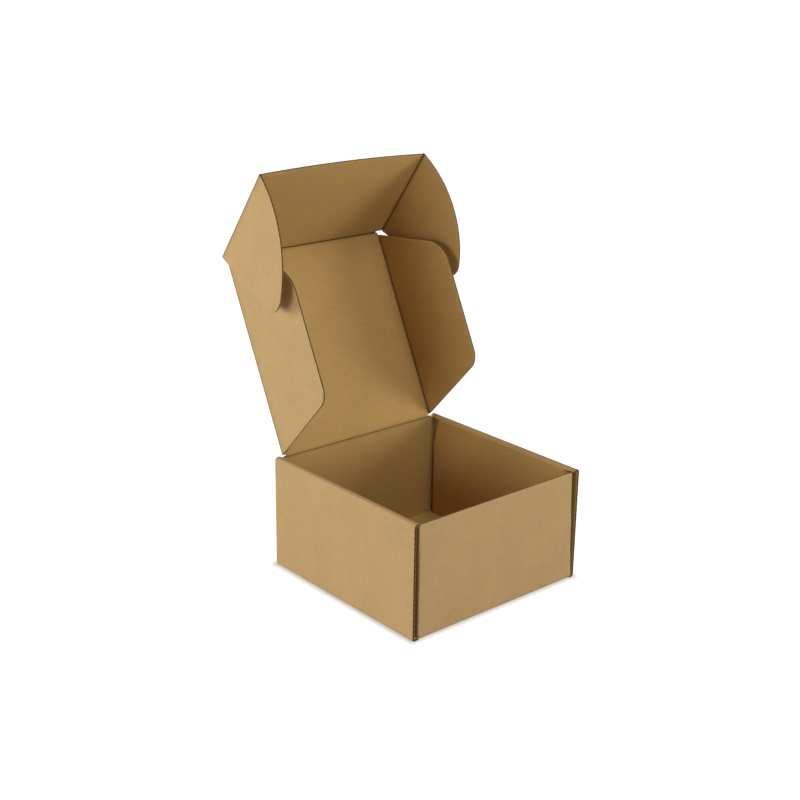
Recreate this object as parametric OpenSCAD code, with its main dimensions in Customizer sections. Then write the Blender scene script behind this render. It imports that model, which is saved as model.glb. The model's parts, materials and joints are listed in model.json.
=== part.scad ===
// Corrugated mailer box with rolled side walls, standing open as one folded sheet of board.
// Millimetres. Origin at the centre of the underside of the base, front towards -Y, +Z up.

/* [Board] */
// Thickness of the corrugated board
board = 1.5; // [1.2:0.1:2.5]
// Inner radius of a folded crease
crease_r = 0.4; // [0.2:0.05:0.6]
// Space between neighbouring layers of a wall
layer_gap = 0.1; // [0.05:0.05:0.4]
// Space left between two panels at a crease that moves
fold_gap = 0.3; // [0.25:0.05:0.5]

/* [Tray] */
// Outer width of the tray, across the rolled side walls
tray_w = 130; // [110:1:180]
// Outer depth of the tray, front to back
tray_d = 127; // [110:1:180]
// Height of the rolled side walls
tray_h = 70.6; // [55:0.1:110]
// How far the raw top edge of the front wall lies below the rolls
front_drop = 1; // [0.5:0.1:3]
// Length of a dust flap, from the outside of its wall
dust_l = 44; // [25:1:55]
// Cut at the free corners of a dust flap
dust_cut = 6; // [2:0.5:12]
// Space between the ends of an inner side panel and the end walls
inner_end_gap = 0.8; // [0.6:0.1:3]
// Depth of the taper at the top ends of an inner side panel
taper_d = 4; // [1:0.5:8]
// Height of that taper
taper_h = 18; // [6:1:30]

/* [Locking tabs] */
// Width of a locking tab of an inner side panel
tab_w = 18; // [10:1:26]
// Distance between the centres of the two tabs of a side
tab_pitch = 62; // [40:1:80]
// Space around a tab in its slot
slot_gap = 0.2; // [0.1:0.05:0.5]

/* [Lid] */
// Lid length, from the back crease to the front crease
lid_l = 125.4; // [109:0.1:182]
// Space between a lid side flap and the inner face of the tray
flap_gap = 0.3; // [0.2:0.05:2]
// How far the back crease lies below the rolls
hinge_drop = 1; // [0.8:0.1:3]
// Opening angle of the lid, from closed
lid_angle = 116; // [100:1:130]

/* [Lid side flaps] */
// Height of a side flap, from its crease
flap_h = 58.5; // [35:0.5:60]
// Slant of its two end edges
flap_slant = 20.5; // [10:0.5:30]
// Corner radius towards the tuck flap
flap_top_r = 19; // [8:0.5:24]
// Corner radius towards the back crease
flap_low_r = 11; // [5:0.5:20]
// Distance of its crease from the back crease
flap_start = 2.5; // [2:0.5:8]
// Distance of its crease from the front crease
flap_end = 2; // [1.6:0.1:6]
// Fold of a side flap, from flat
flap_angle = 90; // [88:0.5:95]

/* [Tuck flap and ears] */
// Height of the tuck flap at its ends, from the front crease
tuck_h = 68.6; // [45:0.1:72]
// Rise of its free edge between the ends
tuck_bow = 2.2; // [0.5:0.1:4]
// Space between an ear and the outer side panel of the tray, when the ear goes in behind it
ear_gap = 0.2; // [0.1:0.1:1]
// Fold of the tuck flap, from flat
tuck_angle = 62; // [45:1:80]
// Spread of an ear, from the front crease corner
ear_spread = 74.5; // [60:0.5:84]
// Radius of the tip of an ear
ear_tip_r = 11; // [5:0.5:14]
// Fold of an ear, from flat
ear_angle = 84; // [82:0.5:90]

/* [Hidden] */
$fn = 96;
// Facets of the long, shallow bow, and steps of an ear's edge and of its tip
bow_fn = 720;
ear_steps = 28;
tip_steps = 14;

kraft = "#c4a671";
half_w = tray_w / 2;
half_d = tray_d / 2;
// Outer radius of a folded crease, and where the crease of the base begins
bend_r = board + crease_r;
bend_x = half_w - bend_r;
bend_y = half_d - bend_r;
// Layers of a side wall, from outside to inside: outer panel, dust flap, inner panel
layer = board + layer_gap;
dust_x = half_w - layer;
inner_x = half_w - 2 * layer - board;
// Where the face of an end wall turns into its dust flap
wall_x = dust_x - bend_r;
// Underside of a roll, and the height of what fits below it
roll_under = tray_h - board;
under_roll = tray_h - bend_r - layer_gap;
inner_face_d = half_d - board;
inner_half_l = inner_face_d - inner_end_gap;
above_base = board + layer_gap;
tab_tip = layer_gap;
front_h = tray_h - front_drop;
dust_low = bend_r + 2 * layer_gap;
// Creases that move
hinge_y = half_d - board / 2;
hinge_z = tray_h - hinge_drop;
lip_z = hinge_z - board - fold_gap;
flap_x = inner_x - flap_gap - board;
recess_r = board + fold_gap;
ear_x = half_w - 2 * board - ear_gap;
// Half width of the back and front creases, which end beside the side flaps
root_x = flap_x - recess_r;
long = tray_w + tray_d;

// A quarter of a folded crease, in the first quadrant
module quarter_ring() {
    intersection() {
        difference() {
            circle(bend_r);
            circle(crease_r);
        }
        square(bend_r);
    }
}

// Corner of an outline, rounded: p is the corner, a and b its neighbours
function unit(v) = v / norm(v);
function half_turn(p, a, b) = acos(unit(a - p) * unit(b - p)) / 2;
function tangent_l(p, a, b, r) = r / tan(half_turn(p, a, b));
function round_centre(p, a, b, r) =
    p + unit(unit(a - p) + unit(b - p)) * r / sin(half_turn(p, a, b));

// Points of an arc, at angles counted from +Y towards +X, without its first one
function heading(angle) = [sin(angle), cos(angle)];
function arc(centre, r, from, to, steps) =
    [for (i = [1 : steps]) centre + r * heading(from + (to - from) * i / steps)];

// A convex outline with a radius at each corner, 0 for a sharp one
module rounded_outline(points, radii) {
    n = len(points);
    function before(i) = points[(i + n - 1) % n];
    function after(i) = points[(i + 1) % n];
    function cut(i) = tangent_l(points[i], before(i), after(i), radii[i]);
    polygon([for (i = [0 : n - 1]) each [
        points[i] + unit(before(i) - points[i]) * cut(i),
        points[i] + unit(after(i) - points[i]) * cut(i)]]);
    for (i = [0 : n - 1])
        if (radii[i] > 0)
            translate(round_centre(points[i], before(i), after(i), radii[i])) circle(radii[i]);
}

// Section of a side wall with its roll, in X and Z, without the inner panel
module roll_section() {
    translate([wall_x, 0]) square([bend_x - wall_x, board]);
    translate([bend_x, bend_r]) mirror([0, 1]) quarter_ring();
    translate([half_w - board, bend_r]) square([board, tray_h - 2 * bend_r]);
    translate([bend_x, tray_h - bend_r]) quarter_ring();
    translate([inner_x + bend_r, roll_under]) square([bend_x - inner_x - bend_r, board]);
    translate([inner_x + bend_r, tray_h - bend_r]) mirror([1, 0]) quarter_ring();
}

// Extrudes a section in X and Z along Y, between -l and l
module along_y(l) {
    translate([0, l, 0]) rotate([90, 0, 0]) linear_extrude(2 * l) children();
}

// Stands an outline in Y and Z up as a sheet of board, from x towards +X
module sheet_yz(x) {
    translate([x, 0, 0]) rotate([90, 0, 90]) linear_extrude(board) children();
}

// Inner panel of a rolled side wall, in Y and Z, with its tabs
module inner_outline() {
    top = tray_h - bend_r;
    polygon([[-inner_half_l, above_base], [inner_half_l, above_base],
             [inner_half_l, top - taper_h], [inner_half_l - taper_d, top],
             [taper_d - inner_half_l, top], [-inner_half_l, top - taper_h]]);
    for (side = [-1, 1])
        translate([side * tab_pitch / 2 - tab_w / 2, tab_tip]) square([tab_w, above_base]);
}

module side_wall() {
    along_y(half_d) roll_section();
    sheet_yz(inner_x) inner_outline();
}

// Base, with the slots that hold the tabs
module base() {
    linear_extrude(board) difference() {
        square([2 * bend_x, 2 * bend_y], center = true);
        for (sx = [-1, 1], sy = [-1, 1])
            translate([sx * (inner_x + board / 2), sy * tab_pitch / 2])
                square([board + 2 * slot_gap, tab_w + 2 * slot_gap], center = true);
    }
}

// Outline of an end wall in X and Z: its own height between the rolls, lower ends below them
module end_wall_outline(full_h) {
    full_x = inner_x - layer_gap;
    polygon([[-wall_x, bend_r], [wall_x, bend_r], [wall_x, under_roll], [full_x, under_roll],
             [full_x, full_h], [-full_x, full_h], [-full_x, under_roll], [-wall_x, under_roll]]);
}

// Crease between an end wall and its dust flap, with the flap, on the +X side of the front
module dust_flap() {
    translate([wall_x, -bend_y, dust_low])
        linear_extrude(under_roll - dust_low) mirror([0, 1]) quarter_ring();
    sheet_yz(dust_x - board)
        polygon([[-bend_y, dust_low], [dust_l - half_d - dust_cut, dust_low],
                 [dust_l - half_d, dust_low + dust_cut], [dust_l - half_d, under_roll - dust_cut],
                 [dust_l - half_d - dust_cut, under_roll], [-bend_y, under_roll]]);
}

// Front wall with its crease to the base and its two dust flaps
module end_wall(full_h) {
    translate([0, board - half_d, 0]) rotate([90, 0, 0])
        linear_extrude(board) end_wall_outline(full_h);
    translate([-(wall_x - layer_gap), -bend_y, bend_r]) rotate([90, 0, 90])
        linear_extrude(2 * (wall_x - layer_gap)) mirror([1, 0]) mirror([0, 1]) quarter_ring();
    for (side = [0, 1]) mirror([side, 0, 0]) dust_flap();
}

module tray() {
    color(kraft) {
        base();
        for (side = [0, 1]) mirror([side, 0, 0]) side_wall();
        end_wall(front_h);
        rotate([0, 0, 180]) end_wall(lip_z);
        // Rounded lip that the lid turns over
        translate([layer_gap - inner_x, hinge_y, lip_z]) rotate([0, 90, 0])
            cylinder(d = board, h = 2 * (inner_x - layer_gap));
    }
}

// Frame of the lid: X along the back crease, Y along the lid, Z towards the inside
module lid_frame() {
    translate([0, hinge_y, hinge_z]) rotate([180 - lid_angle, 0, 0]) children();
}

// Frame of the tuck flap: Y along the flap, Z towards the inside, the crease at its origin
module tuck_frame() {
    lid_frame() translate([0, lid_l, board / 2]) rotate([tuck_angle, 0, 0]) children();
}

// Frame of a panel folded up along the Y axis at x, by an angle from flat
module fold_frame(x, angle) {
    translate([x, 0, 0]) rotate([0, -angle, 0]) children();
}

// Room for a crease along Y, cut out of the panel that carries it
module crease_room(l) {
    translate([0, -long, 0]) rotate([-90, 0, 0]) cylinder(r = recess_r, h = l + 2 * long);
}

// Rounded back of a crease along Y, from start to end, on the panel that turns
module crease_back(start, end) {
    translate([0, start, 0]) rotate([-90, 0, 0]) linear_extrude(end - start)
        intersection() {
            circle(board);
            translate([-board, 0]) square(board);
        }
}

module lid_panel() {
    color(kraft) lid_frame() {
        difference() {
            translate([-flap_x, 0, -board / 2]) cube([2 * flap_x, lid_l, board]);
            for (side = [-1, 1])
                translate([side * flap_x, 0, board / 2]) crease_room(lid_l);
            translate([0, lid_l, board / 2]) rotate([0, 0, 90]) crease_room(lid_l);
        }
        // Rounded root in the back crease
        translate([-root_x, 0, 0]) rotate([0, 90, 0]) cylinder(d = board, h = 2 * root_x);
    }
}

// Outline of a side flap: X away from its crease, Y along the lid
module flap_outline() {
    slant = flap_h * tan(flap_slant);
    rounded_outline([[0, flap_start], [flap_h, flap_start + slant],
                     [flap_h, lid_l - flap_end - slant], [0, lid_l - flap_end]],
                    [0, flap_low_r, flap_top_r, 0]);
}

// Side flap on the +X side
module lid_flap() {
    color(kraft) lid_frame() translate([0, 0, board / 2]) fold_frame(flap_x, flap_angle) {
        translate([0, 0, -board]) linear_extrude(board) flap_outline();
        crease_back(flap_start, lid_l - flap_end);
    }
}

module left_lid_flap() { mirror([1, 0, 0]) lid_flap(); }
module right_lid_flap() { lid_flap(); }

// Outline of the tuck flap: its free edge is a shallow bow
module tuck_outline() {
    bow_r = ear_x * ear_x / (2 * tuck_bow) + tuck_bow / 2;
    intersection() {
        translate([-ear_x, 0]) square([2 * ear_x, tuck_h + tuck_bow]);
        translate([0, tuck_h + tuck_bow - bow_r]) circle(bow_r, $fn = bow_fn);
    }
}

module tuck_flap() {
    color(kraft) tuck_frame() {
        difference() {
            translate([0, 0, -board]) linear_extrude(board) tuck_outline();
            for (side = [-1, 1])
                translate([side * ear_x, 0, 0]) crease_room(tuck_h);
        }
        rotate([0, 0, 90]) crease_back(-root_x, root_x);
    }
}

// Outline of an ear: a sector about the front crease corner, with a round tip
module ear_outline() {
    tip_l = tuck_h - ear_tip_r;
    tip_angle = ear_spread - asin(ear_tip_r / tip_l);
    tip = tip_l * heading(tip_angle);
    polygon([[0, 0], [0, tuck_h], each arc([0, 0], tuck_h, 0, tip_angle, ear_steps),
             each arc(tip, ear_tip_r, tip_angle, ear_spread + 90, tip_steps)]);
}

// Ear on the +X side
module ear() {
    color(kraft) tuck_frame() fold_frame(ear_x, ear_angle) {
        translate([0, 0, -board]) linear_extrude(board) ear_outline();
        crease_back(board, tuck_h - board);
    }
}

module left_ear() { mirror([1, 0, 0]) ear(); }
module right_ear() { ear(); }

tray();
lid_panel();
left_lid_flap();
right_lid_flap();
tuck_flap();
left_ear();
right_ear();
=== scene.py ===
"""Corrugated mailer box: liners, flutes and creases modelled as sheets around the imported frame.

Metres, in the frame's axes: front towards -Y, +Z up. Sides are built as right ones, and the left mirrored.
"""

import json
import math

import bmesh
import bpy
import numpy as np
from mathutils import Matrix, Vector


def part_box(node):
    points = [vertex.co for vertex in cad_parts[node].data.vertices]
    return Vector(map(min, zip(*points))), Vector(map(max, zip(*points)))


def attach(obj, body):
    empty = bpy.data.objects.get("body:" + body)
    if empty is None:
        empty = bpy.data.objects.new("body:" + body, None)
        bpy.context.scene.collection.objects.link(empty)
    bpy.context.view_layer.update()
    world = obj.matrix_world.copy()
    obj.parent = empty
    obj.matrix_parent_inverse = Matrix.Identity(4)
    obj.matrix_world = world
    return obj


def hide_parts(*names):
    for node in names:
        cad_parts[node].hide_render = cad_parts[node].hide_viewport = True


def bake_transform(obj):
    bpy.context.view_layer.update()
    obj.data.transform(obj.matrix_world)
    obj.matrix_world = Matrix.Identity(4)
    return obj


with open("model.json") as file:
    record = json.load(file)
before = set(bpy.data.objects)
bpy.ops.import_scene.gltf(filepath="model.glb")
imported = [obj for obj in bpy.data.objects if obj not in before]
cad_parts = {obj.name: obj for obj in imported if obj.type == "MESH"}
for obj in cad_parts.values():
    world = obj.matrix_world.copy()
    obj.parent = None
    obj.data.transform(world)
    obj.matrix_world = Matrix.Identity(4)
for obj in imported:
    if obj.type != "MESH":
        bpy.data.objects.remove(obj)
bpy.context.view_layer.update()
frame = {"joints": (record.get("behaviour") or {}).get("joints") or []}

MM = 0.001
ACROSS = np.array([1.0, 0.0, 0.0])
BACK = np.array([0.0, 1.0, 0.0])
UP = np.array([0.0, 0.0, 1.0])

# Board: two liners and a fluted medium between them
BOARD = 1.5 * MM
LINER = 0.24 * MM
MEDIUM = 0.2 * MM
FLUTE_PITCH = 3.3 * MM
FLUTE_HEIGHT = BOARD / 2 - LINER - MEDIUM / 2
LINER_STEP = 0.6 * MM
FLUTE_STEP = FLUTE_PITCH / 10
# Columns close to an edge that ends in a round corner
END_STEPS = np.array([0.0, 0.02, 0.08, 0.18, 0.32, 0.5]) * MM
# Rows close to a plain edge, drawn together on a strip narrower than the second value
EDGE_STEPS = np.array([0.0, 0.5, 1.2, 2.5]) * MM
EDGE_ROOM = 8 * MM
# Points across the strip of the back crease, around a bend, along a crease or side wall, around a fan and
# around the root
STRIP_POINTS = 4
BEND_POINTS = 7
LENGTH_POINTS = 9
FAN_POINTS = 13
ROOT_POINTS = 25
# Edges sharper than this are not smoothed
SHARP_ANGLE = math.radians(35)
# Half width of the groove that a pressed crease leaves in the inner liner
GROOVE = 0.4 * MM
HINGE_GROOVE = 0.3 * MM
# Board crushed by the die along a cut edge: share of its thickness lost there, and how far in that goes
CRUSH = 0.4
CRUSH_REACH = 0.8 * MM
# How far the strip that bends in the back crease reaches down the wall and up the lid
CREASE_WALL = 1.05 * MM
CREASE_LID = 1.25 * MM
# Room kept between two panels of a moving crease when they lie flat
FOLD_CLEAR = 0.08 * MM
# How far the round root of the back crease stays below the faces, and the open heart of a fan
ROOT_DEPTH = 0.03 * MM
FAN_HEART = 0.02 * MM

# Tray, as in the part's source apart from the gaps at its corners
_, (HALF_W, HALF_D, TRAY_H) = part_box("tray")
CREASE_R = 0.4 * MM
BEND_R = BOARD + CREASE_R
MID_R = BEND_R - BOARD / 2
QUARTER = MID_R * math.pi / 2
BEND_STEPS = np.linspace(0.0, QUARTER, BEND_POINTS)
LAYER_GAP = 0.1 * MM
LAYER = BOARD + LAYER_GAP
INNER_X = HALF_W - 2 * LAYER - BOARD
WALL_X = HALF_W - LAYER - BEND_R
UNDER_ROLL = TRAY_H - BEND_R - LAYER_GAP
FRONT_DROP = 1 * MM
FRONT_H = TRAY_H - FRONT_DROP
DUST_L = 44 * MM
DUST_CUT = 6 * MM
DUST_LOW = BEND_R + 2 * LAYER_GAP
INNER_END_GAP = 2.6 * MM
INNER_HALF_L = HALF_D - BOARD - INNER_END_GAP
TAPER_D = 4 * MM
TAPER_H = 18 * MM
TAB_W = 18 * MM
TAB_PITCH = 62 * MM
SLOT_GAP = 0.2 * MM
SLOT_IN = INNER_X - SLOT_GAP
SLOT_OUT = INNER_X + BOARD + SLOT_GAP
SLOT_ENDS = (TAB_PITCH / 2 - TAB_W / 2 - SLOT_GAP, TAB_PITCH / 2 + TAB_W / 2 + SLOT_GAP)
# Between these two lines the front wall, base and back wall are one plain run of board
PLAIN_X = 57.5 * MM
# How far a wall ends short of its corner, at the bottom and at the top, as it sits in the photo
FRONT_GAP = {"left": (2.1 * MM, 2.0 * MM), "right": (0.0, 3.6 * MM)}
BACK_GAP = (0.0, 0.0)
# Angle of the fold at such a corner; the rest of a right angle comes behind the side panel
CORNER_TURN = {"left": math.radians(84), "right": math.radians(74)}
CORNER_R = 0.35 * MM

# Lid, flaps and ears, placed by the joints of the frame
joints = {j["name"]: j for j in frame["joints"]}


def joint_point(name):
    return np.array(joints[name]["pos_m"], float)


def joint_axis(name):
    axis = np.array(joints[name]["axis"], float)
    return axis / np.linalg.norm(axis)


HINGE = joint_point("lid_crease")
LID_DIR = joint_axis("left_lid_flap_crease")
LID_IN = np.cross(ACROSS, LID_DIR)
TUCK_AXIS = joint_point("tuck_flap_crease")
TUCK_DIR = joint_axis("left_ear_crease")
TUCK_IN = np.cross(ACROSS, TUCK_DIR)
TUCK_FOLD = math.acos(float(LID_DIR @ TUCK_DIR))
LID_L = float((TUCK_AXIS - HINGE) @ LID_DIR)
FLAP_X = joint_point("right_lid_flap_crease")[0]
EAR_X = joint_point("right_ear_crease")[0]
FLAP_FOLD = math.radians(90)
EAR_FOLD = math.radians(84)
FLAP_H = 58.5 * MM
FLAP_LOW_SLANT = math.radians(21.5)
FLAP_TOP_SLANT = math.radians(20.5)
FLAP_TOP_R = 19 * MM
FLAP_LOW_R = 11 * MM
FLAP_START = 1.6 * MM
FLAP_END = 2 * MM
TUCK_H = 68.6 * MM
TUCK_BOW = 2.2 * MM
EAR_SPREAD = math.radians(74.5)
EAR_TIP_R = 11 * MM
# Centre of an ear's round tip, from the foot of its crease
EAR_TIP_L = TUCK_H - EAR_TIP_R
EAR_TIP_ANGLE = EAR_SPREAD - math.asin(EAR_TIP_R / EAR_TIP_L)
EAR_TIP_B = EAR_TIP_L * math.sin(EAR_TIP_ANGLE)
EAR_TIP_A = EAR_TIP_L * math.cos(EAR_TIP_ANGLE)
# Half length of the creases at the two ends of the lid, and of the round root in the back one
ROOT_X = FLAP_X - 1.8 * MM
ROOT_END = FLAP_X - 0.1 * MM
# How far the ends of the tuck flap are cut back from its crease
TUCK_CUT = 0.6 * MM

# Lengths along the run of board that makes the front wall, the base and the back wall
FRONT_RUN = FRONT_H - BEND_R
BASE_RUN = 2 * (HALF_D - BEND_R)
BACK_RUN = HINGE[2] - BEND_R
RUN = FRONT_RUN + BASE_RUN + BACK_RUN + 2 * QUARTER
# Where the pattern of the paper starts on that run and on the lid, and its shift between other sheets
RUN_OFFSET = 0.0
LID_OFFSET = 0.19
SHEET_OFFSET = 0.37

# Colours and material slots of the board
KRAFT_OUTSIDE = (0.560, 0.372, 0.166, 1.0)
# Colour of the faces inside the box: darker and more saturated than the outside one, as painted shade and
# bounce light
KRAFT_INSIDE_SHADED = (0.555, 0.346, 0.121, 1.0)
# Cut edges: the liner's edge darkened as painted shade of the flutes beside it, and the flutes in the
# medium's own darker brown with painted shade of their hollows
CUT_LINER_SHADED = (0.38, 0.24, 0.095, 1.0)
CUT_FLUTES_SHADED = (0.18, 0.105, 0.042, 1.0)
LINER_SLOT, CUT_SLOT, FLUTE_SLOT = 0, 1, 2
# Marks in the paper, as noise: scale across and along the flutes per metre, detail, roughness, and the
# (position, grey) stops between which it darkens the board
CLOUDS = ((45, 45), 3.0, 0.5, (0.3, 0.95), (0.7, 1.0))
FIBRES = ((200, 420), 4.0, 0.6, (0.3, 0.94), (0.7, 1.0))
FINE_FIBRES = ((900, 3000), 3.0, 0.65, (0.25, 0.94), (0.75, 1.0))
FLECKS = ((500, 900), 1.0, 0.5, (0.16, 0.75), (0.24, 1.0))
RAW_GRAIN = ((900, 900), 3.0, 0.5, (0.3, 0.7), (0.7, 1.0))
# Grey that the liner is darkened to along a pressed crease, as painted shade of the fold, and how far from
# the crease it fades
CREASE_SHADE_GREY = 0.5
CREASE_SHADE_FADE = 0.7 * MM
# Strength of that painted shade at the hinge and on a fan, and its fade behind a corner fold
HINGE_SHADE = 0.5
FAN_SHADE = 0.2
CORNER_SHADE_FADE = 12 * MM
# Length over which the outer liner goes from the outside colour to the inside one, with its painted shade,
# on a rolled rim
ROLL_SHADE_FADE = 3 * MM
# Relief of the liner: strength and depth of the washboard over the flutes and of the paper itself
WASHBOARD = (0.07, 0.1 * MM)
PAPER_RELIEF = (0.25, 0.07 * MM)
PAPER_SCALE, PAPER_DETAIL, PAPER_ROUGHNESS = (300, 700), 4.0, 0.6
# Roughness and specular level of the liner, and of raw edges and the floor
LINER_GLOSS = (0.82, 0.08)
RAW_GLOSS = (0.9, 0.1)

# Camera fitted to the photograph: azimuth, elevation and roll in degrees, place, lens in millimetres
CAMERA_ANGLES = (-40.965, 19.153, 0.858)
CAMERA_PLACE = np.array([-520.4, -574.6, 379.4]) * MM
CAMERA_LENS = 62.87
SENSOR_WIDTH = 36.0
CLIP_START = 0.01

# Lamps about the box: bearing from +X and height in degrees, and power in watts
TARGET = np.array([0.0, 0.0, 0.1])
LAMP_DISTANCE = 1.2
LAMP_SIZE = 0.6
LAMPS = {
    "left_back": (140, 8, 6.8),
    "left": (185, 8, 5.8),
    "front": (270, 8, 2.2),
    "front_right": (312, 7, 5.7),
    "top_front": (270, 60, 4.7),
}
AMBIENT = 0.055
FLOOR_GREY = 0.55
FLOOR_HALF = 6.0
# Glow that shows the floor white to the camera: less beside the box, so that its shadow is seen; that drop
# in glow also paints a thin shadow along the foot of the box
FLOOR_LIFT_NEAR = 0.35
FLOOR_LIFT_FAR = 1.0
FLOOR_LIFT_REACH = 6 * MM


# Materials

def new_material(name):
    material = bpy.data.materials.new(name)
    material.use_nodes = True
    nodes = material.node_tree.nodes
    return material, nodes, material.node_tree.links, nodes["Principled BSDF"]


def set_gloss(shader, gloss):
    shader.inputs["Roughness"].default_value, shader.inputs["Specular IOR Level"].default_value = gloss


def board_vector(nodes, links, scale):
    """Board coordinates, across and along the flutes, times a scale for each."""
    coords = nodes.new("ShaderNodeUVMap")
    coords.uv_map = "board"
    mapping = nodes.new("ShaderNodeMapping")
    mapping.inputs["Scale"].default_value = (scale[0], scale[1], 1.0)
    links.new(coords.outputs["UV"], mapping.inputs["Vector"])
    return mapping.outputs["Vector"]


def noise(nodes, links, scale, detail, roughness):
    texture = nodes.new("ShaderNodeTexNoise")
    texture.noise_dimensions = "2D"
    texture.inputs["Scale"].default_value = 1.0
    texture.inputs["Detail"].default_value = detail
    texture.inputs["Roughness"].default_value = roughness
    links.new(board_vector(nodes, links, scale), texture.inputs["Vector"])
    return texture.outputs["Fac"]


def grey_ramp(nodes, links, value, low, high):
    """Greys from one (position, grey) stop to another."""
    made = nodes.new("ShaderNodeValToRGB")
    for element, (position, grey) in zip(made.color_ramp.elements, (low, high)):
        element.position = position
        element.color = (grey, grey, grey, 1.0)
    links.new(value, made.inputs["Fac"])
    return made.outputs["Color"]


def paper_mark(nodes, links, tone):
    scale, detail, roughness, low, high = tone
    return grey_ramp(nodes, links, noise(nodes, links, scale, detail, roughness), low, high)


def mix_colours(nodes, links, a, b, blend="MULTIPLY", factor=1.0):
    """Mixes two colours. Each of them and the factor is a fixed value or the output of a node."""
    mix = nodes.new("ShaderNodeMix")
    mix.data_type = "RGBA"
    mix.blend_type = blend
    for socket, value in (("A", a), ("B", b), ("Factor", factor)):
        if isinstance(value, bpy.types.NodeSocket):
            links.new(value, mix.inputs[socket])
        else:
            mix.inputs[socket].default_value = value
    return mix.outputs["Result"]


def attribute(nodes, name):
    made = nodes.new("ShaderNodeAttribute")
    made.attribute_name = name
    return made.outputs["Fac"]


def bump(nodes, links, height, relief, under=None):
    made = nodes.new("ShaderNodeBump")
    made.inputs["Strength"].default_value, made.inputs["Distance"].default_value = relief
    links.new(height, made.inputs["Height"])
    if under is not None:
        links.new(under, made.inputs["Normal"])
    return made.outputs["Normal"]


def flute_wave(nodes, links):
    """The washboard that the flutes leave in a liner."""
    split = nodes.new("ShaderNodeSeparateXYZ")
    links.new(board_vector(nodes, links, (2 * math.pi / FLUTE_PITCH, 1.0)), split.inputs["Vector"])
    wave = nodes.new("ShaderNodeMath")
    wave.operation = "SINE"
    links.new(split.outputs["X"], wave.inputs[0])
    return wave.outputs["Value"]


def kraft_material():
    material, nodes, links, shader = new_material("kraft_liner")
    # Faces inside the box take the inside colour, which carries painted shade
    tint = mix_colours(nodes, links, KRAFT_OUTSIDE, KRAFT_INSIDE_SHADED, "MIX", attribute(nodes, "inside"))
    marks_and_shade = [paper_mark(nodes, links, tone) for tone in (CLOUDS, FIBRES, FINE_FIBRES, FLECKS)]
    # Painted shade along the creases, from the crease attribute, darkens the liner together with the paper's
    # marks
    marks_and_shade.append(grey_ramp(nodes, links, attribute(nodes, "crease"), (0.0, 1.0), (1.0, CREASE_SHADE_GREY)))
    for tone in marks_and_shade:
        tint = mix_colours(nodes, links, tint, tone)
    links.new(tint, shader.inputs["Base Color"])
    set_gloss(shader, LINER_GLOSS)
    washboard = bump(nodes, links, flute_wave(nodes, links), WASHBOARD)
    paper = noise(nodes, links, PAPER_SCALE, PAPER_DETAIL, PAPER_ROUGHNESS)
    links.new(bump(nodes, links, paper, PAPER_RELIEF, washboard), shader.inputs["Normal"])
    return material


def raw_material(name, colour):
    material, nodes, links, shader = new_material(name)
    grain = paper_mark(nodes, links, RAW_GRAIN)
    links.new(mix_colours(nodes, links, colour, grain), shader.inputs["Base Color"])
    set_gloss(shader, RAW_GLOSS)
    return material


# In the order of LINER_SLOT, CUT_SLOT and FLUTE_SLOT
MATERIALS = (kraft_material(), raw_material("cut_liner", CUT_LINER_SHADED), raw_material("cut_flutes", CUT_FLUTES_SHADED))


# Board

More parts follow.
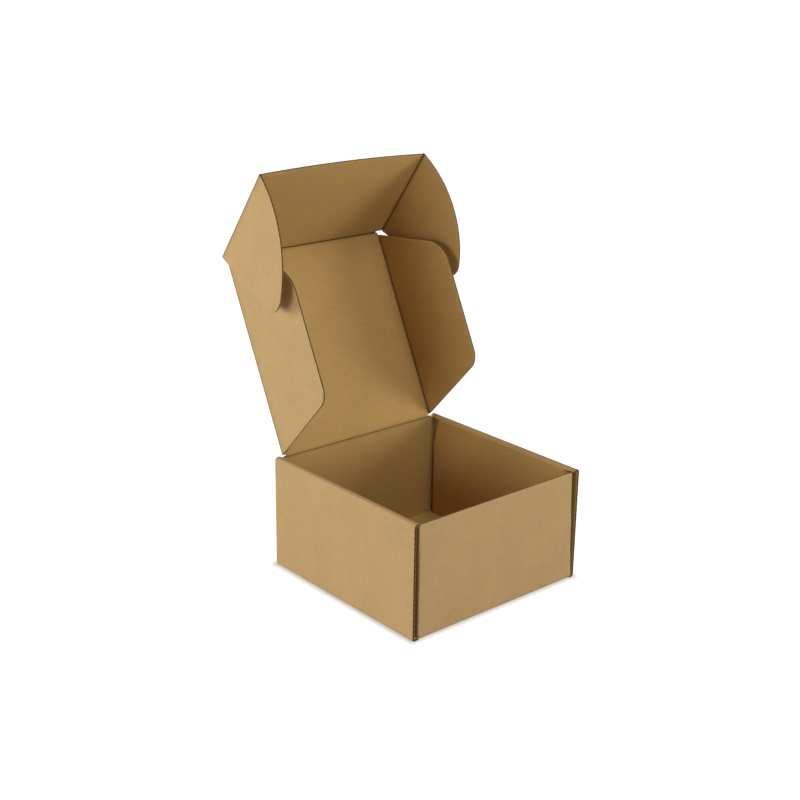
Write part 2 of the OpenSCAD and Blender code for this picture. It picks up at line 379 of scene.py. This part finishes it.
class Board:
    """Collects sheets of board, each a few closed shells, into one mesh."""

    sheets_made = 0

    def __init__(self):
        self.verts = []
        self.faces = []
        self.uvs = []
        self.crease = []
        self.inside = []
        self.slots = []

    def shell(self, top, bottom, uv, crease, inside, slot):
        """A closed sheet between two grids of points, each of columns by rows."""
        columns, rows = top.shape[:2]
        base = len(self.verts)
        under = columns * rows
        self.verts += list(top.reshape(-1, 3)) + list(bottom.reshape(-1, 3))
        self.uvs += list(uv.reshape(-1, 2)) * 2
        self.crease += list(np.broadcast_to(crease, (columns, rows)).reshape(-1)) * 2
        self.inside += list(np.broadcast_to(inside, (columns, rows)).reshape(-1)) * 2

        def at(i, j):
            return base + i * rows + j

        for i in range(columns - 1):
            for j in range(rows - 1):
                quad = (at(i, j), at(i + 1, j), at(i + 1, j + 1), at(i, j + 1))
                self.faces += [quad, tuple(k + under for k in reversed(quad))]
                self.slots += [slot, slot]
        rim = [at(i, 0) for i in range(columns)]
        rim += [at(columns - 1, j) for j in range(1, rows)]
        rim += [at(i, rows - 1) for i in range(columns - 2, -1, -1)]
        rim += [at(0, j) for j in range(rows - 2, 0, -1)]
        # Rim faces of a liner take the cut edge's darkened tone, which carries painted shade
        for a, b in zip(rim, rim[1:] + rim[:1]):
            self.faces.append((b, a, a + under, b + under))
            self.slots.append(CUT_SLOT if slot == LINER_SLOT else slot)

    def sheet(self, place, s_low, s_high, rows, crease=None, round_end=False,
              grooves=(0.0, 0.0, 0.0, 0.0), cuts=(), rolled=None, offset=None):
        """Two liners and the flutes between them. s runs across the flutes and r along them.

        place(s, r, h) gives a point, h from -BOARD/2 on the outside to BOARD/2 on the inside.
        rows(s) gives the r values of a column, as many for each column.
        grooves hold the inner liner back at the low and high s and at the low and high r.
        cuts names the edges crushed by the die, among s_low, s_high, r_low and r_high.
        rolled(s) says how far the outer liner has been rolled to the inside of the box, where it takes the
        inside colour with its painted shade.
        offset shifts the pattern of the paper, and is a new one unless given.
        """
        if offset is None:
            Board.sheets_made += 1
            offset = SHEET_OFFSET * Board.sheets_made

        def columns(step, low, high):
            s = np.linspace(low, high, max(2, int(round((high - low) / step)) + 1))
            return np.unique(np.concatenate([s, high - END_STEPS])) if round_end else s

        def layer(s, low, high, slot, inside, held=(0.0, 0.0)):
            r = np.array([rows(x) for x in s])
            ends = r[:, :1], r[:, -1:]
            r = np.clip(r, ends[0] + held[0], ends[1] - held[1])
            grid = np.repeat(s[:, None], r.shape[1], axis=1)
            depths = {"s_low": grid - s_low, "s_high": s_high - grid,
                      "r_low": r - ends[0], "r_high": ends[1] - r}
            thin = 1.0 - CRUSH * np.max([0 * r, *(near(depths[cut], CRUSH_REACH) for cut in cuts)], axis=0)
            uv = np.stack([grid + offset, r + offset], axis=-1)
            # Painted shade along the creases, kept in the crease attribute
            painted_shade = 0.0 if crease is None else crease(grid, r)
            self.shell(place(grid, r, high[:, None] * thin), place(grid, r, low[:, None] * thin),
                       uv, painted_shade, inside if np.ndim(inside) == 0 else inside[:, None], slot)

        s = columns(LINER_STEP, s_low, s_high)
        face = np.full(len(s), BOARD / 2)
        # The outer liner takes the inside colour, with its painted shade, where it has rolled into the box;
        # the inner liner takes it everywhere
        layer(s, -face, -face + LINER, LINER_SLOT, 0.0 if rolled is None else rolled(s))
        s = columns(LINER_STEP, s_low + grooves[0], s_high - grooves[1])
        face = np.full(len(s), BOARD / 2)
        layer(s, face - LINER, face, LINER_SLOT, 1.0, grooves[2:])
        s = columns(FLUTE_STEP, s_low, s_high)
        wave = FLUTE_HEIGHT * np.sin(2 * np.pi * s / FLUTE_PITCH)
        layer(s, wave - MEDIUM / 2, wave + MEDIUM / 2, FLUTE_SLOT, 1.0)

    def take(self, other, mirrored):
        """Adds the sheets of another board, mirrored left to right if asked."""
        base = len(self.verts)
        flip = np.array([-1.0 if mirrored else 1.0, 1.0, 1.0])
        self.verts += [v * flip for v in other.verts]
        self.faces += [tuple(k + base for k in face) for face in other.faces]
        self.uvs += other.uvs
        self.crease += other.crease
        self.inside += other.inside
        self.slots += other.slots

    def piece(self, name):
        mesh = bpy.data.meshes.new(name)
        mesh.from_pydata(np.array(self.verts).tolist(), [], self.faces)
        mesh.polygons.foreach_set("material_index", self.slots)
        corners = np.zeros(len(mesh.loops), np.int32)
        mesh.loops.foreach_get("vertex_index", corners)
        board_map = mesh.uv_layers.new(name="board")
        board_map.data.foreach_set("uv", np.array(self.uvs, np.float32)[corners].ravel())
        # Both attributes carry painted shade: along the creases, and the share of the shaded inside colour
        for tone, values in (("crease", self.crease), ("inside", self.inside)):
            made = mesh.attributes.new(tone, "FLOAT", "POINT")
            made.data.foreach_set("value", np.array(values, np.float32))
        turned = bmesh.new()
        turned.from_mesh(mesh)
        bmesh.ops.recalc_face_normals(turned, faces=turned.faces)
        turned.to_mesh(mesh)
        turned.free()
        mesh.polygons.foreach_set("use_smooth", [True] * len(mesh.polygons))
        mesh.set_sharp_from_angle(angle=SHARP_ANGLE)
        for material in MATERIALS:
            mesh.materials.append(material)
        made = bpy.data.objects.new(name, mesh)
        bpy.context.scene.collection.objects.link(made)
        return made


def mirrored_board(board):
    made = Board()
    made.take(board, mirrored=True)
    return made


def dress(board, node):
    """Puts a board in the place of a CAD node, on the body of the same name."""
    piece = board.piece(node + "_board")
    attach(piece, node)
    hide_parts(node)


def near(distance, reach=CREASE_SHADE_FADE):
    """How much a crease or cut at that distance acts on the board, from 1 to 0: a crease darkens it with
    painted shade, a cut crushes it.
    """
    return np.exp(-np.abs(distance) / reach)


def flat_place(origin, s_dir, r_dir, inward):
    """A flat panel whose middle plane holds the origin."""

    def place(s, r, h):
        return origin + s[..., None] * s_dir + r[..., None] * r_dir + h[..., None] * inward

    return place


def folded_place(origin, forward, inward, r_dir, path):
    """A panel that follows a path of (length, turn) pieces, where a turn is towards the inside.

    path(r) gives the pieces, and the last one runs on.
    """

    def place(s, r, h):
        x, y, heading, done = 0 * s, 0 * s, 0 * s, 0 * s
        pieces = path(r)
        for k, (length, turn) in enumerate(pieces):
            part = np.maximum(s - done, 0.0)
            if k < len(pieces) - 1:
                part = np.minimum(part, length)
            if turn:
                radius = length / turn
                turned = heading + part / radius
                x = x + radius * (np.sin(turned) - np.sin(heading))
                y = y + radius * (np.cos(heading) - np.cos(turned))
                heading = turned
            else:
                x = x + part * np.cos(heading)
                y = y + part * np.sin(heading)
            done = done + length
        x = x - h * np.sin(heading)
        y = y + h * np.cos(heading)
        return origin + x[..., None] * forward + y[..., None] * inward + r[..., None] * r_dir

    return place


def edge_rows(low, high):
    """Rows from one edge to the other, closer together near both."""
    margins = EDGE_STEPS * min(1.0, (high - low) / EDGE_ROOM)
    return np.concatenate([low + margins, [(low + high) / 2], high - margins[::-1]])


# Lid and the crease at its back

# Painted shade along the creases of the lid: at the flap creases, the hinge and the tuck flap's crease
def lid_crease_shade(s, r):
    return np.max([near(FLAP_X - np.abs(s)), HINGE_SHADE * near(r), near(LID_L - r)], axis=0)


def lid_place(s, r, h):
    """The lid's panel: s goes across and r from the hinge to the crease of the tuck flap."""
    return flat_place(HINGE, ACROSS, LID_DIR, LID_IN)(s, r, h)


def make_lid():
    board = Board()
    board.sheet(lid_place, -FLAP_X, FLAP_X, lambda x: edge_rows(CREASE_LID, LID_L), lid_crease_shade,
                grooves=(GROOVE, GROOVE, 0.0, GROOVE), offset=LID_OFFSET)
    dress(board, "lid_panel")


# Painted shade along the hinge at the top of the back wall
def run_crease_shade(s, r):
    return HINGE_SHADE * near(RUN - r)


def run_place(s, r, h):
    """Front wall, base and back wall, one run of board along Y: r goes down, back and up."""
    pieces = [(FRONT_RUN, 0), (QUARTER, math.pi / 2), (BASE_RUN, 0), (QUARTER, math.pi / 2), (BACK_RUN, 0)]
    start = np.array([0.0, BOARD / 2 - HALF_D, FRONT_H])
    return folded_place(start, -UP, BACK, ACROSS, lambda x: pieces)(r, s, h)


def make_back_crease():
    """The strip that bends between the back wall and the lid, with a round root between its liners."""
    board = Board()
    board.sheet(run_place, -PLAIN_X, PLAIN_X, lambda x: np.linspace(RUN - CREASE_WALL, RUN, STRIP_POINTS),
                run_crease_shade, grooves=(0.0, 0.0, 0.0, HINGE_GROOVE), offset=RUN_OFFSET)
    board.sheet(lid_place, -ROOT_X, ROOT_X, lambda x: np.linspace(0.0, CREASE_LID, STRIP_POINTS),
                lid_crease_shade, grooves=(0.0, 0.0, HINGE_GROOVE, 0.0), offset=LID_OFFSET)
    angle, length = np.meshgrid(np.linspace(0.0, 2 * math.pi, ROOT_POINTS),
                                np.linspace(-ROOT_END, ROOT_END, LENGTH_POINTS), indexing="ij")
    spoke = np.cos(angle)[..., None] * LID_DIR + np.sin(angle)[..., None] * LID_IN
    point = HINGE + length[..., None] * ACROSS
    uv = np.stack([length, angle * BOARD / 2], axis=-1)
    outer_r = BOARD / 2 - ROOT_DEPTH
    # The round root lies deep in the hinge and takes the full painted shade of a crease
    board.shell(point + outer_r * spoke, point + (outer_r - LINER) * spoke, uv, 1.0, 1.0, LINER_SLOT)
    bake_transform(board.piece("lid_crease_board"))


# Side flaps of the lid

def flap_edge(b, slant, radius):
    """How far a side flap has drawn in at distance b from its crease: a slant, then a round corner."""
    tangent = radius * math.tan((math.pi / 2 - slant) / 2)
    if b <= FLAP_H - tangent * math.cos(slant):
        return b * math.tan(slant)
    centre_a = FLAP_H * math.tan(slant) + tangent
    return centre_a - math.sqrt(max(0.0, radius ** 2 - (b - FLAP_H + radius) ** 2))


def flap_rows(b):
    return edge_rows(FLAP_START + flap_edge(b, FLAP_LOW_SLANT, FLAP_LOW_R),
                     LID_L - FLAP_END - flap_edge(b, FLAP_TOP_SLANT, FLAP_TOP_R))


def flap_board():
    fold_dir = math.cos(FLAP_FOLD) * ACROSS + math.sin(FLAP_FOLD) * LID_IN
    inward = -math.sin(FLAP_FOLD) * ACROSS + math.cos(FLAP_FOLD) * LID_IN
    origin = HINGE + FLAP_X * ACROSS + (LID_IN - inward) * BOARD / 2
    board = Board()
    # Painted shade along the flap's crease
    board.sheet(flat_place(origin, fold_dir, LID_DIR, inward), 0.0, FLAP_H, flap_rows,
                lambda s, r: near(s), round_end=True, grooves=(GROOVE, 0.0, 0.0, 0.0),
                cuts=("s_high", "r_low", "r_high"))
    return board


# Tuck flap and ears

def tuck_edge(x):
    """Free edge of the tuck flap, a shallow bow."""
    radius = EAR_X ** 2 / (2 * TUCK_BOW) + TUCK_BOW / 2
    return TUCK_H + TUCK_BOW - radius + math.sqrt(radius ** 2 - x ** 2)


def make_tuck():
    board = Board()

    def rows(x):
        return edge_rows(FOLD_CLEAR if abs(x) <= ROOT_X else TUCK_CUT, tuck_edge(x))

    # Painted shade along the ear creases and the tuck flap's crease
    def crease(s, r):
        return np.maximum(near(EAR_X - np.abs(s)), near(r))

    board.sheet(flat_place(TUCK_AXIS - TUCK_IN * BOARD / 2, ACROSS, TUCK_DIR, TUCK_IN), -EAR_X, EAR_X,
                rows, crease, grooves=(GROOVE, GROOVE, GROOVE, 0.0), cuts=("r_high",))
    dress(board, "tuck_flap")


def ear_rows(b):
    """Lowest to highest point of an ear along its crease, at distance b from the crease."""
    tip = math.sqrt(max(0.0, EAR_TIP_R ** 2 - (b - EAR_TIP_B) ** 2))
    on_arc = b <= TUCK_H * math.sin(EAR_TIP_ANGLE)
    high = math.sqrt(TUCK_H ** 2 - b ** 2) if on_arc else EAR_TIP_A + tip
    on_line = b <= EAR_TIP_B + EAR_TIP_R * math.cos(EAR_SPREAD)
    low = b / math.tan(EAR_SPREAD) if on_line else EAR_TIP_A - tip
    return edge_rows(low, high)


def ear_board():
    fold_dir = math.cos(EAR_FOLD) * ACROSS + math.sin(EAR_FOLD) * TUCK_IN
    inward = -math.sin(EAR_FOLD) * ACROSS + math.cos(EAR_FOLD) * TUCK_IN
    origin = TUCK_AXIS + EAR_X * ACROSS - inward * BOARD / 2
    board = Board()
    # Painted shade along the ear's crease
    board.sheet(flat_place(origin, fold_dir, TUCK_DIR, inward), FOLD_CLEAR, EAR_TIP_B + EAR_TIP_R,
                ear_rows, lambda s, r: near(s), round_end=True, grooves=(GROOVE, 0.0, 0.0, 0.0),
                cuts=("s_high", "r_low", "r_high"))
    return board


# Creases that move: board that fans out about the inner corner of the fold

def make_crease(name, axis, along, parent_out, fold_side, fold, ends, mirrored=False):
    """axis is the inner corner; parent_out points out of the parent, fold_side to the child's side."""
    board = Board()
    angle, length = np.meshgrid(np.linspace(0.0, fold, FAN_POINTS), np.linspace(*ends, LENGTH_POINTS),
                                indexing="ij")
    spoke = np.cos(angle)[..., None] * parent_out + np.sin(angle)[..., None] * fold_side
    point = axis + length[..., None] * along
    uv = np.stack([angle * BOARD, length], axis=-1)
    skin = BOARD - LINER
    # The fans take a light painted shade of the crease
    board.shell(point + BOARD * spoke, point + skin * spoke, uv, FAN_SHADE, 0.0, LINER_SLOT)
    board.shell(point + skin * spoke, point + FAN_HEART * spoke, uv, FAN_SHADE, 1.0, FLUTE_SLOT)
    piece = (mirrored_board(board) if mirrored else board).piece(name)
    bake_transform(piece)


def make_creases():
    flap_axis = HINGE + FLAP_X * ACROSS + LID_IN * BOARD / 2
    ear_axis = TUCK_AXIS + EAR_X * ACROSS
    for side in ("left", "right"):
        make_crease(f"{side}_lid_flap_crease_board", flap_axis, LID_DIR,
                    -LID_IN, ACROSS, FLAP_FOLD, (FLAP_START, LID_L - FLAP_END), side == "left")
        make_crease(f"{side}_ear_crease_board", ear_axis, TUCK_DIR,
                    -TUCK_IN, ACROSS, EAR_FOLD, (TUCK_CUT, TUCK_H), side == "left")
    make_crease("tuck_crease_board", TUCK_AXIS, ACROSS,
                -LID_IN, LID_DIR, TUCK_FOLD, (-ROOT_X, ROOT_X))


# Tray

def add_plain_run(board):
    """Front wall, base and back wall between the side walls, up to the back crease."""
    base_shares = np.array([0.02, 0.5, 0.98])
    near_crease = 2 * MM
    rows = np.concatenate([
        EDGE_STEPS, [FRONT_RUN / 2], FRONT_RUN + BEND_STEPS,
        FRONT_RUN + QUARTER + BASE_RUN * base_shares,
        FRONT_RUN + QUARTER + BASE_RUN + BEND_STEPS,
        RUN - np.array([BACK_RUN / 2, near_crease, CREASE_WALL])])
    board.sheet(run_place, -PLAIN_X, PLAIN_X, lambda x: rows, run_crease_shade, cuts=("r_low",),
                offset=RUN_OFFSET)


def add_side_wall(board):
    """Rolled side wall: from the base up the outer panel, over the roll and down the inner panel."""
    runs = (HALF_W - BEND_R - SLOT_OUT, TRAY_H - 2 * BEND_R,
            HALF_W - INNER_X - 2 * BEND_R, TRAY_H - BEND_R - BOARD - LAYER_GAP)
    pieces = [(runs[0], 0)]
    for run in runs[1:]:
        pieces += [(QUARTER, math.pi / 2), (run, 0)]
    inner_start = sum(runs[:3]) + 3 * QUARTER
    roll_top = inner_start - QUARTER - runs[2] / 2

    def rows(s):
        half = HALF_D
        if s > inner_start:
            half = INNER_HALF_L - TAPER_D * max(0.0, 1.0 - (s - inner_start) / TAPER_H)
        return np.linspace(-half, half, LENGTH_POINTS)

    place = folded_place(np.array([SLOT_OUT, 0.0, BOARD / 2]), ACROSS, UP, BACK, lambda r: pieces)
    # Past the top of the roll the outer liner fades to the inside colour, as painted shade inside the box
    board.sheet(place, 0.0, inner_start + runs[3], rows,
                rolled=lambda s: np.clip((s - roll_top) / ROLL_SHADE_FADE, 0.0, 1.0))
    tab_place = flat_place(np.array([INNER_X + BOARD / 2, 0.0, 0.0]), UP, BACK, -ACROSS)
    for middle in (-TAB_PITCH / 2, TAB_PITCH / 2):
        ends = middle + np.array([-TAB_W / 2, TAB_W / 2])
        board.sheet(tab_place, LAYER_GAP, BOARD + 2 * LAYER_GAP, lambda s: ends)


def add_base_edge(board):
    """Base beside the plain run, with the slots for the tabs."""
    place = flat_place(np.array([0.0, 0.0, BOARD / 2]), ACROSS, BACK, UP)
    flat_y = HALF_D - BEND_R
    board.sheet(place, PLAIN_X, SLOT_IN, lambda s: np.array([-flat_y, flat_y]))
    for low, high in ((-flat_y, -SLOT_ENDS[1]), (-SLOT_ENDS[0], SLOT_ENDS[0]), (SLOT_ENDS[1], flat_y)):
        ends = np.array([low, high])
        board.sheet(place, SLOT_IN, SLOT_OUT, lambda s: ends)


def add_corner(board, outward, gaps, turn):
    """End of a front or back wall: its lower bend, and the dust flap folded in behind the side panel.

    gaps tells how far the wall ends short of its corner at the bottom and at the top, and turn is the
    angle of the fold there. The board past the fold is painted darker, as painted shade of the gap it lies
    in.
    """
    origin = outward * (HALF_D - BOARD / 2) + ACROSS * PLAIN_X
    rest = math.pi / 2 - turn
    wall_run = WALL_X + (MID_R - CORNER_R) * math.sin(turn) - PLAIN_X

    def path(z):
        gap = gaps[0] + (gaps[1] - gaps[0]) * z / TRAY_H
        slant = gap / math.cos(turn)
        return [(wall_run - gap, 0), (CORNER_R * turn, turn), (slant, 0), (MID_R * rest, rest), (DUST_L, 0)]

    total = wall_run + QUARTER + DUST_L - BEND_R

    def rows(s):
        beyond = max(0.0, s - total + DUST_CUT)
        low = BEND_R if s < wall_run - gaps[0] else DUST_LOW
        high = FRONT_H if s < INNER_X - LAYER_GAP - PLAIN_X else UNDER_ROLL
        return edge_rows(low + beyond, high - beyond)

    # Painted shade on the board past the fold, fading away from it
    def crease(s, z):
        past_fold = s - path(z)[0][0] - CORNER_R * turn / 2
        return np.where(past_fold > 0.0, near(past_fold, CORNER_SHADE_FADE), 0.0)

    board.sheet(folded_place(origin, ACROSS, -outward, UP, path), 0.0, total, rows, crease, cuts=("r_high",))
    pieces = [(QUARTER, math.pi / 2), (DUST_LOW, 0)]
    bend_start = outward * (HALF_D - BEND_R) + UP * BOARD / 2
    bottom = folded_place(bend_start, outward, UP, ACROSS, lambda r: pieces)
    bend_end = PLAIN_X + wall_run - gaps[0]
    board.sheet(lambda s, r, h: bottom(r, s, h), PLAIN_X, bend_end, lambda x: BEND_STEPS)
    if bend_end < SLOT_OUT:
        # The base goes on below the gap
        base = flat_place(UP * BOARD / 2, ACROSS, outward, UP)
        ends = np.array([HALF_D - BEND_R, HALF_D - LAYER_GAP])
        board.sheet(base, bend_end, SLOT_OUT, lambda s: ends)


def make_tray():
    board = Board()
    add_plain_run(board)
    for side in ("left", "right"):
        half = Board()
        add_side_wall(half)
        add_base_edge(half)
        add_corner(half, -BACK, FRONT_GAP[side], CORNER_TURN[side])
        add_corner(half, BACK, BACK_GAP, CORNER_TURN[side])
        board.take(half, mirrored=side == "left")
    dress(board, "tray")


# Stage: floor, world, lamps and camera

def join_math(nodes, links, operation, a, b):
    made = nodes.new("ShaderNodeMath")
    made.operation = operation
    links.new(a, made.inputs[0])
    links.new(b, made.inputs[1])
    return made.outputs["Value"]


def seen_rays(nodes, links):
    """1 for the rays that show the background to the camera, straight or in a reflection, else 0."""
    rays = nodes.new("ShaderNodeLightPath").outputs
    seen = join_math(nodes, links, "MAXIMUM", rays["Is Camera Ray"], rays["Is Glossy Ray"])
    return join_math(nodes, links, "MAXIMUM", seen, rays["Is Transmission Ray"])


def foot_distance(nodes, links):
    """Distance on the floor from the foot of the box."""
    value = nodes.new("ShaderNodeTexCoord").outputs["Object"]
    for operation in ("ABSOLUTE", "SUBTRACT", "MAXIMUM", "LENGTH"):
        step = nodes.new("ShaderNodeVectorMath")
        step.operation = operation
        links.new(value, step.inputs[0])
        if operation == "SUBTRACT":
            step.inputs[1].default_value = (HALF_W, HALF_D, 0.0)
        value = step.outputs["Value" if operation == "LENGTH" else "Vector"]
    return value


def make_floor():
    mesh = bpy.data.meshes.new("floor")
    corners = [(x * FLOOR_HALF, y * FLOOR_HALF, 0) for x, y in ((-1, -1), (1, -1), (1, 1), (-1, 1))]
    mesh.from_pydata(corners, [], [(0, 1, 2, 3)])
    floor = bpy.data.objects.new("floor", mesh)
    bpy.context.scene.collection.objects.link(floor)
    material, nodes, links, shader = new_material("white_floor")
    shader.inputs["Base Color"].default_value = (FLOOR_GREY, FLOOR_GREY, FLOOR_GREY, 1.0)
    set_gloss(shader, RAW_GLOSS)
    # Painted shadow: the glow drops to FLOOR_LIFT_NEAR at the foot of the box and rises to FLOOR_LIFT_FAR
    # within FLOOR_LIFT_REACH
    lift = nodes.new("ShaderNodeMapRange")
    lift.inputs["From Max"].default_value = FLOOR_LIFT_REACH
    lift.inputs["To Min"].default_value = FLOOR_LIFT_NEAR
    lift.inputs["To Max"].default_value = FLOOR_LIFT_FAR
    links.new(foot_distance(nodes, links), lift.inputs["Value"])
    glow = nodes.new("ShaderNodeEmission")
    strength = join_math(nodes, links, "MULTIPLY", seen_rays(nodes, links), lift.outputs["Result"])
    links.new(strength, glow.inputs["Strength"])
    both = nodes.new("ShaderNodeAddShader")
    links.new(shader.outputs["BSDF"], both.inputs[0])
    links.new(glow.outputs["Emission"], both.inputs[1])
    links.new(both.outputs["Shader"], nodes["Material Output"].inputs["Surface"])
    mesh.materials.append(material)


def make_world():
    world = bpy.data.worlds.new("studio")
    bpy.context.scene.world = world
    world.use_nodes = True
    nodes, links = world.node_tree.nodes, world.node_tree.links
    background = nodes["Background"]
    background.inputs["Color"].default_value = (1.0, 1.0, 1.0, 1.0)
    strength = nodes.new("ShaderNodeMapRange")
    strength.inputs["To Min"].default_value = AMBIENT
    strength.inputs["To Max"].default_value = 1.0
    links.new(seen_rays(nodes, links), strength.inputs["Value"])
    links.new(strength.outputs["Result"], background.inputs["Strength"])


def look_matrix(place, back, roll=0.0):
    """Matrix of a camera or lamp that looks along -back."""
    right = np.cross(UP, back)
    right = right / np.linalg.norm(right)
    up = np.cross(back, right)
    turned_right = math.cos(roll) * right + math.sin(roll) * up
    turned_up = -math.sin(roll) * right + math.cos(roll) * up
    columns = np.stack([turned_right, turned_up, back, place], axis=1)
    return Matrix([*columns.tolist(), [0.0, 0.0, 0.0, 1.0]])


def make_lamp(name, bearing, height, power):
    bearing, height = math.radians(bearing), math.radians(height)
    back = np.array([math.cos(height) * math.cos(bearing),
                     math.cos(height) * math.sin(bearing), math.sin(height)])
    lamp = bpy.data.lights.new(name, "AREA")
    lamp.shape = "DISK"
    lamp.size = LAMP_SIZE
    lamp.energy = power
    made = bpy.data.objects.new(name, lamp)
    made.matrix_world = look_matrix(TARGET + LAMP_DISTANCE * back, back)
    bpy.context.scene.collection.objects.link(made)


def make_camera():
    azimuth, elevation, roll = (math.radians(a) for a in CAMERA_ANGLES)
    back = np.array([math.sin(azimuth) * math.cos(elevation),
                     -math.cos(azimuth) * math.cos(elevation), math.sin(elevation)])
    data = bpy.data.cameras.new("camera")
    data.sensor_width = SENSOR_WIDTH
    data.lens = CAMERA_LENS
    data.clip_start = CLIP_START
    camera = bpy.data.objects.new("camera", data)
    camera.matrix_world = look_matrix(CAMERA_PLACE, back, roll)
    bpy.context.scene.collection.objects.link(camera)
    bpy.context.scene.camera = camera


make_tray()
make_lid()
make_back_crease()
make_tuck()
for make, node in ((flap_board, "lid_flap"), (ear_board, "ear")):
    dress(make(), "right_" + node)
    dress(mirrored_board(make()), "left_" + node)
make_creases()

make_floor()
make_world()
for lamp_name, (bearing, height, power) in LAMPS.items():
    make_lamp(lamp_name, bearing, height, power)
make_camera()
bpy.context.scene.view_settings.view_transform = "Standard"
